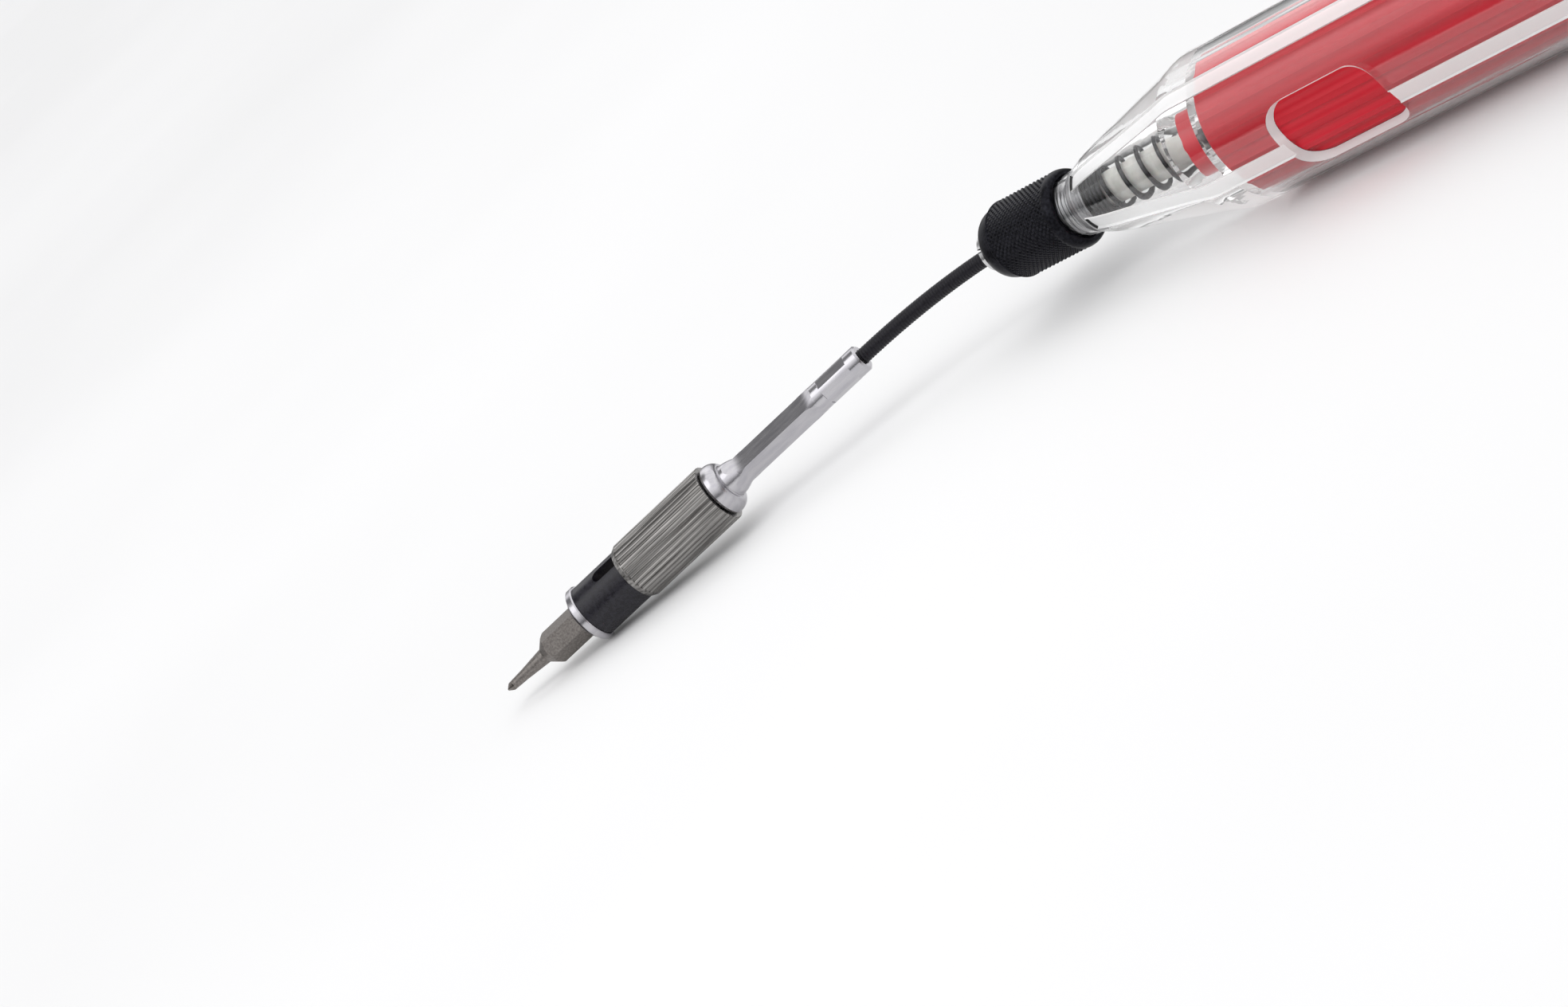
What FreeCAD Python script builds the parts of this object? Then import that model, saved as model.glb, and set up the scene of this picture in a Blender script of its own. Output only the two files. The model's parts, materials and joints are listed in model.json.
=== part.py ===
"""Pocket precision screwdriver with a flexible shaft, as one solid per piece, in millimetres.

The tool lies on a table. Its handle axis runs along X, with the swivel cap at +X and the bit at -X.
The flexible shaft bends the drive end to one side, and the whole tool is rolled until that end meets the table.
Each piece is drawn in one of two frames, both with +X towards the cap:
handle frame: origin at the collet's mouth; drive frame: origin at the bit's point.
"""
import FreeCAD, Part
import math
import os

# Bit: 4 mm hex, 28 mm long
BIT_FLATS = 4.0
BIT_LENGTH = 28.0
BIT_SHANK_LENGTH = 6.9
BIT_POINT_R = 0.12
BIT_POINT_LENGTH = 0.65
BIT_TIP_R = 0.58
BIT_BLADE_REAR = 3.0
BIT_BLADE_R = 0.7
BIT_SHANK_R = 1.04
BIT_NECK_R = 1.1
BIT_CONE_LENGTH = 1.5
BIT_CHAMFER = 0.45
BIT_WINGS = 4
BIT_WING_LENGTH = 1.2
BIT_WING_OFFSET = 0.13
BIT_WING_SIZE = 0.5

# Bit socket and what it holds
SOCKET_FRONT = 14.2
SOCKET_R = 3.6
SOCKET_NECK_R = 2.9
SOCKET_STEP = 27.5
SOCKET_REAR = 38.1
SOCKET_EDGE = 0.1
SOCKET_PILOT_R = 1.5
SOCKET_HEX_FLATS = 4.08
SOCKET_HEX_END = 28.1
RING_FRONT = 14.6
RING_WIDTH = 1.0
RING_R = 3.9
RING_SEAT_R = 3.25
RING_EDGE = 0.15
RING_GAP_ANGLE = 40.0
MAGNET_R = 1.9
MAGNET_LENGTH = 2.8
SLOT_FRONT = 19.2
SLOT_REAR = 25.8
SLOT_WIDTH = 1.7
SLOT_TURN = 16.8
SLOT_INNER_R = 1.0

# Fluted sleeve
SLEEVE_FRONT = 22.9
SLEEVE_REAR = 38.1
SLEEVE_R = 4.0
SLEEVE_BORE_R = 3.66
SLEEVE_FLANGE = 1.4
SLEEVE_FLANGE_R = 2.98
SLEEVE_LIP = 0.08
SLEEVE_CONE = 0.6
SLEEVE_REAR_EDGE = 0.1
SLEEVE_FLUTES = 36
SLEEVE_FLUTE_R = 0.28
SLEEVE_FLUTE_DEPTH = 0.14
SLEEVE_FLUTE_START = 0.7
SLEEVE_PIN_X = 24.9
SLEEVE_PIN_R = 0.7
SLEEVE_PIN_INNER_R = 2.5
SLEEVE_PIN_LENGTH = 1.1
SLEEVE_SPRING_TURNS = 6
SLEEVE_SPRING_WIRE_R = 0.22

# Drive stem
STEM_HUB_FRONT = 31.0
STEM_HUB_R = 2.0
DOME_FRONT = 38.3
DOME_R = 3.55
DOME_LENGTH = 1.9
DOME_EDGE = 0.15
DOME_RIM = 0.3
DOME_FOOT = 0.15
CONE_R = 2.3
CONE_LENGTH = 2.1
CONE_SHAPE = ((0.2, 0.0), (0.8, 0.08), (1.6, 0.3))
STOCK_R = 1.825
SQUARE_SIDE = 2.55
SQUARE_FRONT = 42.6
SQUARE_REAR = 54.8
SQUARE_TURN = 21.8
RUNOUT_R = 6.0
RUNOUT_LENGTH = 1.5
FERRULE_FRONT = 55.5
STEM_REAR = 63.3
FERRULE_R = 1.8
FERRULE_BORE_DEPTH = 10.0
FERRULE_EDGE = 0.25
CRIMP_SIDES = 6
CRIMP_FLATS = 3.36
CRIMP_TURN = 20.0
CRIMP_START = 1.4
CRIMP_LENGTH = 4.6

# Flexible shaft: it starts inside the collet's wide mouth, and its two spans meet at the middle of the bend
SHAFT_R = 0.98
SHAFT_LENGTH = 30.25
SHAFT_IN_COLLET = 8.5
SHAFT_BEND = 30.6
SHAFT_SPANS = ("rear", "front")
COIL_BORE_R = 0.55
CORE_R = 0.5
SHANK_LENGTH = 6.0
RUNNING = 0.05

# Collet and chuck nut
COLLET_TIP_R = 2.6
COLLET_HEAD_R = 3.35
COLLET_CONE_REAR = 5.0
COLLET_HEAD_REAR = 5.6
COLLET_STEM_R = 2.75
COLLET_REAR = 16.3
COLLET_MOUTH_R = 1.66
COLLET_EDGE = 0.3
COLLET_CONE_FRONT = 1.8
COLLET_BORE_R = 1.3
COLLET_GRIP_GAP = 0.02
COLLET_SLOT = 0.5
COLLET_SLOT_LENGTH = 12.0
COLLET_SLOT_TURNS = (45, 135)
NUT_FRONT = 1.6
NUT_REAR = 15.5
NUT_R = 4.84
NUT_MOUTH_R = 2.95
NUT_NOSE_R = 4.4
NUT_NOSE_LENGTH = 2.1
NUT_STEP = 0.45
NUT_EDGE = 1.2
NUT_EDGE_DROP = 0.65
NUT_GAP = 0.06
NUT_KNURL_FRONT = 4.1
NUT_BORE_R = 3.98
KNURL_STARTS = 30
KNURL_R = 0.3
KNURL_DEPTH = 0.12

# Handle shell
NECK_FRONT = 5.9
NECK_R = 3.9
NECK_REAR = 17.6
NECK_EDGE = 0.4
BUSH_R = 3.2
BUSH_REAR = 20.3
HANDLE_R = 9.45
HANDLE_REAR = 104.5
HANDLE_BORE_R = 8.33
HANDLE_REAR_EDGE = (0.5, 0.3)
NOSE_OUTLINE = ((17.6, 3.95), (21.0, 5.1), (27.0, 6.4), (33.0, 7.7), (37.8, 8.8), (40.0, 9.35), (41.8, 9.45))
SPRING_BORE_R = 3.05
PLUG_BORE_FRONT = 36.8
PLUG_BORE_R = 4.0
WIDE_BORE_FRONT = 43.4
GROOVES = 5
GROOVE_TURN = 23.2
GROOVE_WIDTH = 2.0
GROOVE_DEPTH = 0.4
GROOVE_START = 1.5
WINDOW_CENTRE = 61.0
WINDOW_LENGTH = 14.6
WINDOW_WIDTH = 9.0
WINDOW_CORNER = 2.4
WINDOW_FLARE = 0.9
WINDOW_OUTER_CORNER = 3.2
WINDOW_INNER_Y = 6.8
WINDOW_OUTER_Y = 10.4
WINDOW_TURN = 0.2

# Magazine with its spring, guide tube, lid and spare bits
MAGAZINE_FRONT = 38.6
MAGAZINE_STEP = 44.3
MAGAZINE_REAR = 98.5
MAGAZINE_R = 8.25
MAGAZINE_NOSE_R = 3.9
MAGAZINE_EDGE = 0.3
MAGAZINE_RIBS = 24
MAGAZINE_RIB_TURN = 7.5
RIB_HOLLOW_R = 1.2
RIB_HOLLOW_DEPTH = 0.25
BIT_RING_R = 5.0
BIT_BORE_R = 2.42
BIT_BORE_DEPTH = 29.0
BIT_BORE_TURN = 45.0
SPARE_BITS = 4
SPARE_BIT_GAP = 0.3
GUIDE_R = 1.75
GUIDE_BORE_R = 1.1
GUIDE_FRONT = 22.5
GUIDE_IN_MAGAZINE = 8.0
LID_THICK = 1.2
LID_R = 8.05
NOSE_SPRING_R = 2.38
NOSE_SPRING_WIRE_R = 0.36
NOSE_SPRING_TURNS = 8

# Rear plug and swivel cap
PLUG_FRONT = 99.75
PLUG_R = 8.28
PLUG_EDGE = 0.4
PLUG_SHOULDER = 104.5
PLUG_HEAD_R = 9.4
PLUG_HEAD_EDGES = (0.3, 0.2)
PLUG_REAR = 106.5
O_RING_X = 102.3
O_RING_WIRE_R = 0.42
O_RING_GROOVE = 0.85
O_RING_GROOVE_WIDTH = 1.4
WASHER_THICK = 0.3
WASHER_R = 5.0
CAP_FRONT = 106.9
CAP_REAR = 113.1
CAP_R = 9.2
CAP_EDGE = 0.3
CAP_SIDE = 3.2
CAP_DOME = 1.9
CAP_BORE_R = 1.56
CAP_SCREW_R = 1.5
CAP_HEAD_R = 2.9
CAP_HEAD_THICK = 1.4
CAP_HEAD_EDGE = 0.2
CAP_HEAD_GAP = 0.12
CAP_SEAT_GAP = 0.1
CAP_HEAD_INSET = 0.05
CAP_SCREW_SLOT = 0.7
CAP_SCREW_FRONT = 101.5

# Small allowances
JOIN = 0.1
TOUCH = 0.01
GLUED = 0.02
SPRING_GAP = 0.05

X_AXIS = FreeCAD.Vector(1, 0, 0)
Y_AXIS = FreeCAD.Vector(0, 1, 0)
Z_AXIS = FreeCAD.Vector(0, 0, 1)
ORIGIN = FreeCAD.Vector(0, 0, 0)
SQRT3 = math.sqrt(3)
QUARTER_STEPS = 8


def turned(*runs):
    """Solid of revolution about X from runs of (x, radius) points. Every second run is a smooth curve."""
    edges = []
    for index, run in enumerate(runs):
        points = [FreeCAD.Vector(x, 0, r) for x, r in run]
        x, r = runs[(index + 1) % len(runs)][0]
        if index % 2:
            curve = Part.BSplineCurve()
            curve.interpolate(points)
            edges.append(curve.toShape())
            points = points[-1:]
        edges += Part.makePolygon(points + [FreeCAD.Vector(x, 0, r)]).Edges
    face = Part.Face(Part.Wire(Part.__sortEdges__(edges)))
    return face.revolve(ORIGIN, X_AXIS, 360)


def quarter(centre, along, across):
    """Quarter of an ellipse, as (x, radius) points: from across the centre to along from it."""
    points = []
    for k in range(QUARTER_STEPS + 1):
        angle = math.pi / 2 * k / QUARTER_STEPS
        points.append((centre[0] + along * math.sin(angle), centre[1] + across * math.cos(angle)))
    return points


def rod(x0, x1, radius):
    return Part.makeCylinder(radius, x1 - x0, FreeCAD.Vector(x0, 0, 0), X_AXIS)


def tube(x0, x1, outer, inner):
    return rod(x0, x1, outer).cut(rod(x0 - 1, x1 + 1, inner))


def about_x(shape, angle):
    copy = shape.copy()
    copy.rotate(ORIGIN, X_AXIS, angle)
    return copy


def ring_of(shape, count, start=0.0):
    return [about_x(shape, start + k * 360.0 / count) for k in range(count)]


def moved(shape, x, y=0.0, z=0.0):
    copy = shape.copy()
    copy.translate(FreeCAD.Vector(x, y, z))
    return copy


def prism(x0, x1, across_flats, sides, turn=0.0):
    """Regular bar along X with its flats that far apart."""
    radius = across_flats / 2 / math.cos(math.pi / sides)
    corners = []
    for k in range(sides + 1):
        angle = math.radians(turn) + (k + 0.5) * 2 * math.pi / sides
        corners.append(FreeCAD.Vector(x0, radius * math.sin(angle), radius * math.cos(angle)))
    face = Part.Face(Part.makePolygon(corners))
    return face.extrude(X_AXIS * (x1 - x0))


def helix_spring(x0, x1, radius, wire_r, turns):
    """Round wire wound along X, its ends inside x0 and x1."""
    height = x1 - x0 - 2 * wire_r
    path = Part.Wire(Part.makeHelix(height / turns, height, radius).Edges)
    ring = Part.makeCircle(wire_r, FreeCAD.Vector(radius, 0, 0), Y_AXIS)
    coil = path.makePipeShell([Part.Wire(ring)], True, True)
    coil.rotate(ORIGIN, Y_AXIS, 90)
    coil.translate(FreeCAD.Vector(x0 + wire_r, 0, 0))
    return coil


# Drive end, in the drive frame

def make_hex_bit():
    corner_r = BIT_FLATS / SQRT3 + TOUCH
    envelope = turned([
        (BIT_SHANK_LENGTH, 0), (BIT_SHANK_LENGTH, BIT_NECK_R), (BIT_SHANK_LENGTH + BIT_CONE_LENGTH, corner_r),
        (BIT_LENGTH - BIT_CHAMFER, corner_r), (BIT_LENGTH, corner_r - BIT_CHAMFER), (BIT_LENGTH, 0),
    ])
    shank = turned([
        (0, 0), (0, BIT_POINT_R), (BIT_POINT_LENGTH, BIT_TIP_R), (BIT_BLADE_REAR, BIT_BLADE_R),
        (BIT_SHANK_LENGTH, BIT_SHANK_R), (BIT_SHANK_LENGTH + JOIN, BIT_SHANK_R), (BIT_SHANK_LENGTH + JOIN, 0),
    ])
    hexagon = prism(BIT_SHANK_LENGTH, BIT_LENGTH, BIT_FLATS, 6)
    bit = hexagon.common(envelope).fuse(shank).removeSplitter()
    wing = Part.makeBox(BIT_WING_LENGTH + JOIN, BIT_WING_SIZE, BIT_WING_SIZE)
    wing = moved(wing, -JOIN, BIT_WING_OFFSET, BIT_WING_OFFSET)
    return bit.cut(Part.makeCompound(ring_of(wing, BIT_WINGS)))


def make_bit_socket():
    hub_bore_r = STEM_HUB_R + RUNNING
    magnet_bore_r = MAGNET_R + RUNNING
    ring_rear = RING_FRONT + RING_WIDTH
    body = turned([
        (SOCKET_FRONT, RING_SEAT_R - SOCKET_EDGE), (SOCKET_FRONT + SOCKET_EDGE, RING_SEAT_R),
        (ring_rear, RING_SEAT_R), (ring_rear, SOCKET_R), (SOCKET_STEP, SOCKET_R), (SOCKET_STEP, SOCKET_NECK_R),
        (SOCKET_REAR, SOCKET_NECK_R), (SOCKET_REAR, hub_bore_r), (STEM_HUB_FRONT, hub_bore_r),
        (STEM_HUB_FRONT, magnet_bore_r), (SOCKET_HEX_END, magnet_bore_r), (SOCKET_HEX_END, SOCKET_PILOT_R),
        (SOCKET_FRONT, SOCKET_PILOT_R),
    ])
    body = body.cut(prism(SOCKET_FRONT - 1, SOCKET_HEX_END, SOCKET_HEX_FLATS, 6))
    half = SLOT_WIDTH / 2
    reach = SOCKET_R
    slot = Part.makeBox(SLOT_REAR - SLOT_FRONT - half, SLOT_WIDTH, reach)
    slot = moved(slot, SLOT_FRONT + half, -half, SLOT_INNER_R)
    nose = Part.makeCylinder(half, reach, FreeCAD.Vector(SLOT_FRONT + half, 0, SLOT_INNER_R), Z_AXIS)
    return body.cut(about_x(slot.fuse(nose), SLOT_TURN))


def make_socket_ring():
    ring = tube(RING_FRONT, RING_FRONT + RING_WIDTH, RING_R, RING_SEAT_R)
    rims = [e for e in ring.Edges if abs(e.BoundBox.ZMax - RING_R) < TOUCH and e.Length > math.pi * RING_R]
    ring = ring.makeChamfer(RING_EDGE, rims)
    gap_width = 2 * RING_R * math.sin(math.radians(RING_GAP_ANGLE / 2))
    gap = Part.makeBox(2 * RING_WIDTH, gap_width, 2 * RING_R)
    return ring.cut(moved(gap, RING_FRONT - RING_WIDTH / 2, -gap_width / 2, -2 * RING_R))


def make_socket_magnet():
    return rod(SOCKET_HEX_END, SOCKET_HEX_END + MAGNET_LENGTH, MAGNET_R)


def make_fluted_sleeve():
    flange_front = SLEEVE_REAR - SLEEVE_FLANGE
    body = turned([
        (SLEEVE_FRONT, SLEEVE_BORE_R), (SLEEVE_FRONT, SLEEVE_BORE_R + SLEEVE_LIP),
        (SLEEVE_FRONT + SLEEVE_CONE, SLEEVE_R), (SLEEVE_REAR - SLEEVE_REAR_EDGE, SLEEVE_R),
        (SLEEVE_REAR, SLEEVE_R - SLEEVE_REAR_EDGE), (SLEEVE_REAR, SLEEVE_FLANGE_R),
        (flange_front, SLEEVE_FLANGE_R), (flange_front, SLEEVE_BORE_R),
    ])
    flute = rod(SLEEVE_FRONT + SLEEVE_FLUTE_START, SLEEVE_REAR + 1, SLEEVE_FLUTE_R)
    flute = moved(flute, 0, 0, SLEEVE_R + SLEEVE_FLUTE_R - SLEEVE_FLUTE_DEPTH)
    return body.cut(Part.makeCompound(ring_of(flute, SLEEVE_FLUTES)))


def make_sleeve_guide_pin():
    base = FreeCAD.Vector(SLEEVE_PIN_X, 0, SLEEVE_PIN_INNER_R)
    pin = Part.makeCylinder(SLEEVE_PIN_R, SLEEVE_PIN_LENGTH, base, Z_AXIS)
    return about_x(pin, SLOT_TURN)


def make_sleeve_spring():
    middle = (SLEEVE_BORE_R + SOCKET_NECK_R) / 2
    return helix_spring(SOCKET_STEP + SPRING_GAP, SLEEVE_REAR - SLEEVE_FLANGE - SPRING_GAP, middle,
                        SLEEVE_SPRING_WIRE_R, SLEEVE_SPRING_TURNS)


def make_drive_stem():
    rim_x = DOME_FRONT + DOME_RIM
    foot_r = CONE_R + DOME_FOOT
    dome = quarter((rim_x, foot_r), DOME_LENGTH - DOME_RIM, DOME_R - foot_r)
    cone_front = DOME_FRONT + DOME_LENGTH
    cone = [(cone_front + x, CONE_R - drop) for x, drop in CONE_SHAPE] + [(cone_front + CONE_LENGTH, STOCK_R)]
    hub_front = STEM_HUB_FRONT + JOIN
    body = [
        (FERRULE_FRONT, STOCK_R), (FERRULE_FRONT + JOIN, FERRULE_R), (STEM_REAR - FERRULE_EDGE, FERRULE_R),
        (STEM_REAR, FERRULE_R - FERRULE_EDGE), (STEM_REAR, 0), (hub_front, 0), (hub_front, STEM_HUB_R),
        (DOME_FRONT, STEM_HUB_R), (DOME_FRONT, DOME_R - DOME_EDGE),
    ]
    stem = turned(body, dome, [(cone_front + JOIN, CONE_R)], cone)
    for cutter in ring_of(about_x(square_side_cutter(), SQUARE_TURN), 4):
        stem = stem.cut(cutter)
    for cutter in ring_of(about_x(crimp_cutter(), CRIMP_TURN), CRIMP_SIDES):
        stem = stem.cut(cutter)
    return stem.cut(rod(STEM_REAR - FERRULE_BORE_DEPTH, STEM_REAR + 1, SHAFT_R + RUNNING))


def square_side_cutter():
    """Milling cutter's path over one side: flat in the middle, and a round run-out at each end."""
    depth = SQUARE_SIDE / 2
    reach = RUNOUT_R / 2
    first, last = SQUARE_FRONT + RUNOUT_LENGTH, SQUARE_REAR - RUNOUT_LENGTH
    cutter = Part.makeBox(last - first, RUNOUT_R, reach, FreeCAD.Vector(first, -reach, depth))
    for x in (first, last):
        wheel = Part.makeCylinder(RUNOUT_R, RUNOUT_R, FreeCAD.Vector(x, -reach, depth + RUNOUT_R), Y_AXIS)
        cutter = cutter.fuse(wheel)
    window = Part.makeBox(SQUARE_REAR - SQUARE_FRONT + RUNOUT_R, RUNOUT_R, reach)
    return cutter.common(moved(window, SQUARE_FRONT - reach, -reach, depth - JOIN))


def crimp_cutter():
    """One flat pressed into the ferrule."""
    cutter = Part.makeBox(CRIMP_LENGTH, 2 * FERRULE_R, FERRULE_R)
    return moved(cutter, FERRULE_FRONT + CRIMP_START, -FERRULE_R, CRIMP_FLATS / 2)


# Flexible shaft, in the tool frame

def shaft_radius():
    return SHAFT_LENGTH / math.radians(SHAFT_BEND)


def shaft_point(angle):
    """Point of the shaft's centreline where it has turned by that many degrees."""
    a = math.radians(angle)
    return FreeCAD.Vector(SHAFT_IN_COLLET - shaft_radius() * math.sin(a), -shaft_radius() * (1 - math.cos(a)), 0)


def shaft_span(index, outer, inner):
    """Bent tube, or rod if inner is 0, along one span of the shaft."""
    turn = SHAFT_BEND / len(SHAFT_SPANS)
    base = shaft_point(0)
    face = Part.Face(Part.Wire(Part.makeCircle(outer, base, X_AXIS)))
    if inner:
        face = face.cut(Part.Face(Part.Wire(Part.makeCircle(inner, base, X_AXIS))))
    centre = base - Y_AXIS * shaft_radius()
    face.rotate(centre, Z_AXIS, turn * index)
    return face.revolve(centre, Z_AXIS, turn).Solids[0]


# Chuck and handle, in the handle frame

def make_collet():
    grip_r = SHAFT_R + COLLET_GRIP_GAP
    grip_rear = SHAFT_IN_COLLET + SHANK_LENGTH + 2 * JOIN
    body = turned([
        (0, COLLET_MOUTH_R), (0, COLLET_TIP_R - COLLET_EDGE), (COLLET_EDGE, COLLET_TIP_R),
        (COLLET_CONE_FRONT, COLLET_TIP_R), (COLLET_CONE_REAR, COLLET_HEAD_R), (COLLET_HEAD_REAR, COLLET_HEAD_R),
        (COLLET_HEAD_REAR, COLLET_STEM_R), (COLLET_REAR, COLLET_STEM_R), (COLLET_REAR, COLLET_BORE_R),
        (grip_rear, COLLET_BORE_R), (grip_rear, grip_r), (SHAFT_IN_COLLET, grip_r),
        (SHAFT_IN_COLLET, COLLET_MOUTH_R),
    ])
    saw = Part.makeBox(COLLET_SLOT_LENGTH + 1, COLLET_SLOT, 3 * COLLET_HEAD_R)
    saw = moved(saw, -1, -COLLET_SLOT / 2, -1.5 * COLLET_HEAD_R)
    for turn in COLLET_SLOT_TURNS:
        body = body.cut(about_x(saw, turn))
    return body


def make_chuck_nut():
    cone_rear = COLLET_HEAD_REAR + SPRING_GAP
    bore = [
        (NUT_REAR, NUT_BORE_R), (cone_rear, NUT_BORE_R), (cone_rear, COLLET_HEAD_R + NUT_GAP),
        (COLLET_CONE_REAR, COLLET_HEAD_R + NUT_GAP), (COLLET_CONE_FRONT, COLLET_TIP_R + NUT_GAP),
        (NUT_FRONT, COLLET_TIP_R + NUT_GAP),
    ]
    nose_x = NUT_FRONT + NUT_NOSE_LENGTH
    nose = quarter((nose_x, NUT_MOUTH_R), -NUT_NOSE_LENGTH, NUT_NOSE_R - NUT_MOUTH_R)[::-1]
    side = [(NUT_KNURL_FRONT - JOIN, NUT_NOSE_R), (NUT_KNURL_FRONT + NUT_STEP, NUT_R)]
    rear = quarter((NUT_REAR - NUT_EDGE, NUT_R - NUT_EDGE_DROP), NUT_EDGE, NUT_EDGE_DROP)
    nut = turned(bore, nose, side, rear)
    notch = rod(NUT_KNURL_FRONT + NUT_STEP, NUT_REAR - NUT_EDGE, KNURL_R)
    notch = moved(notch, 0, 0, NUT_R + KNURL_R - KNURL_DEPTH)
    return nut.cut(Part.makeCompound(ring_of(notch, KNURL_STARTS)))


def shell_outer(inset):
    """Outside of the shell, drawn in by inset, as a solid of revolution."""
    edge_length, edge_drop = HANDLE_REAR_EDGE
    ends = [
        (HANDLE_REAR - edge_length, HANDLE_R - inset), (HANDLE_REAR, HANDLE_R - inset - edge_drop),
        (HANDLE_REAR, 0), (NECK_FRONT, 0), (NECK_FRONT, NECK_R - NECK_EDGE - inset),
        (NECK_FRONT + NECK_EDGE, NECK_R - inset),
    ]
    return turned(ends, [(x, r - inset) for x, r in NOSE_OUTLINE])


def rounded_window(length, width, corner, y):
    """Closed outline of one window, in the plane at that y."""
    x0 = WINDOW_CENTRE - length / 2
    box = Part.makeBox(length, 1, width, FreeCAD.Vector(x0, y, -width / 2))
    box = box.makeFillet(corner, [e for e in box.Edges if abs(e.BoundBox.YLength - 1) < TOUCH])
    flats = [f for f in box.Faces if f.BoundBox.YLength < TOUCH]
    return min(flats, key=lambda f: f.CenterOfMass.y).OuterWire


def window_cutter():
    """Solid that opens one window, wider outside than inside."""
    inner = rounded_window(WINDOW_LENGTH - WINDOW_FLARE, WINDOW_WIDTH - WINDOW_FLARE, WINDOW_CORNER, WINDOW_INNER_Y)
    outer = rounded_window(WINDOW_LENGTH + 3 * WINDOW_FLARE, WINDOW_WIDTH + 3 * WINDOW_FLARE,
                           WINDOW_OUTER_CORNER, WINDOW_OUTER_Y)
    return Part.makeLoft([inner, outer], True)


def make_handle_shell():
    shell = shell_outer(0)
    strip = Part.makeBox(HANDLE_REAR, GROOVE_WIDTH, HANDLE_R + 1)
    strip = moved(strip, NECK_REAR + GROOVE_START, -GROOVE_WIDTH / 2)
    strips = Part.makeCompound(ring_of(strip, GROOVES)).cut(shell_outer(GROOVE_DEPTH))
    shell = shell.cut(about_x(strips, GROOVE_TURN))
    bore = turned([
        (NECK_FRONT - 1, 0), (NECK_FRONT - 1, BUSH_R), (BUSH_REAR, BUSH_R), (BUSH_REAR, SPRING_BORE_R),
        (PLUG_BORE_FRONT, SPRING_BORE_R), (PLUG_BORE_FRONT, PLUG_BORE_R), (WIDE_BORE_FRONT, PLUG_BORE_R),
        (WIDE_BORE_FRONT, HANDLE_BORE_R), (HANDLE_REAR + 1, HANDLE_BORE_R), (HANDLE_REAR + 1, 0),
    ])
    shell = shell.cut(bore)
    for cutter in ring_of(about_x(window_cutter(), WINDOW_TURN), 2):
        shell = shell.cut(cutter)
    return shell


def make_collet_bush():
    return tube(NECK_FRONT, BUSH_REAR, BUSH_R, COLLET_STEM_R + RUNNING)


def make_nose_spring():
    return helix_spring(BUSH_REAR + GLUED, MAGAZINE_FRONT - GLUED, NOSE_SPRING_R, NOSE_SPRING_WIRE_R,
                        NOSE_SPRING_TURNS)


def make_magazine():
    guide_end = MAGAZINE_FRONT + GUIDE_IN_MAGAZINE
    body = turned([
        (MAGAZINE_FRONT, GUIDE_R), (MAGAZINE_FRONT, MAGAZINE_NOSE_R - MAGAZINE_EDGE),
        (MAGAZINE_FRONT + MAGAZINE_EDGE, MAGAZINE_NOSE_R), (MAGAZINE_STEP, MAGAZINE_NOSE_R),
        (MAGAZINE_STEP, MAGAZINE_R - MAGAZINE_EDGE), (MAGAZINE_STEP + MAGAZINE_EDGE, MAGAZINE_R),
        (MAGAZINE_REAR, MAGAZINE_R), (MAGAZINE_REAR, 0), (guide_end, 0), (guide_end, GUIDE_R),
    ])
    hollow = rod(MAGAZINE_STEP - 1, MAGAZINE_REAR + 1, RIB_HOLLOW_R)
    hollow = moved(hollow, 0, 0, MAGAZINE_R + RIB_HOLLOW_R - RIB_HOLLOW_DEPTH)
    body = body.cut(Part.makeCompound(ring_of(hollow, MAGAZINE_RIBS, MAGAZINE_RIB_TURN)))
    bore = moved(rod(MAGAZINE_REAR - BIT_BORE_DEPTH, MAGAZINE_REAR + 1, BIT_BORE_R), 0, 0, BIT_RING_R)
    return body.cut(Part.makeCompound(ring_of(bore, SPARE_BITS, BIT_BORE_TURN)))


def make_guide_tube():
    return tube(GUIDE_FRONT, MAGAZINE_FRONT + GUIDE_IN_MAGAZINE, GUIDE_R, GUIDE_BORE_R)


def make_spare_bits():
    bit = make_hex_bit()
    bit.rotate(ORIGIN, Z_AXIS, 180)
    bit.translate(FreeCAD.Vector(MAGAZINE_REAR - SPARE_BIT_GAP, 0, BIT_RING_R))
    return Part.makeCompound(ring_of(bit, SPARE_BITS, BIT_BORE_TURN))


def make_magazine_lid():
    return rod(MAGAZINE_REAR, MAGAZINE_REAR + LID_THICK, LID_R)


def make_rear_plug():
    groove_r = PLUG_R - O_RING_GROOVE
    groove_front = O_RING_X - O_RING_GROOVE_WIDTH / 2
    groove_rear = O_RING_X + O_RING_GROOVE_WIDTH / 2
    front_edge, rear_edge = PLUG_HEAD_EDGES
    return turned([
        (PLUG_FRONT, CAP_SCREW_R), (PLUG_FRONT, PLUG_R - PLUG_EDGE), (PLUG_FRONT + PLUG_EDGE, PLUG_R),
        (groove_front, PLUG_R), (groove_front, groove_r), (groove_rear, groove_r), (groove_rear, PLUG_R),
        (PLUG_SHOULDER, PLUG_R), (PLUG_SHOULDER, PLUG_HEAD_R - front_edge),
        (PLUG_SHOULDER + front_edge, PLUG_HEAD_R), (PLUG_REAR - rear_edge, PLUG_HEAD_R),
        (PLUG_REAR, PLUG_HEAD_R - rear_edge), (PLUG_REAR, CAP_SCREW_R),
    ])


def make_plug_o_ring():
    middle = PLUG_R - O_RING_GROOVE + O_RING_WIRE_R
    return Part.makeTorus(middle, O_RING_WIRE_R, FreeCAD.Vector(O_RING_X, 0, 0), X_AXIS)


def make_cap_washer():
    return tube(PLUG_REAR, PLUG_REAR + WASHER_THICK, WASHER_R, CAP_SCREW_R + GLUED)


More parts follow.
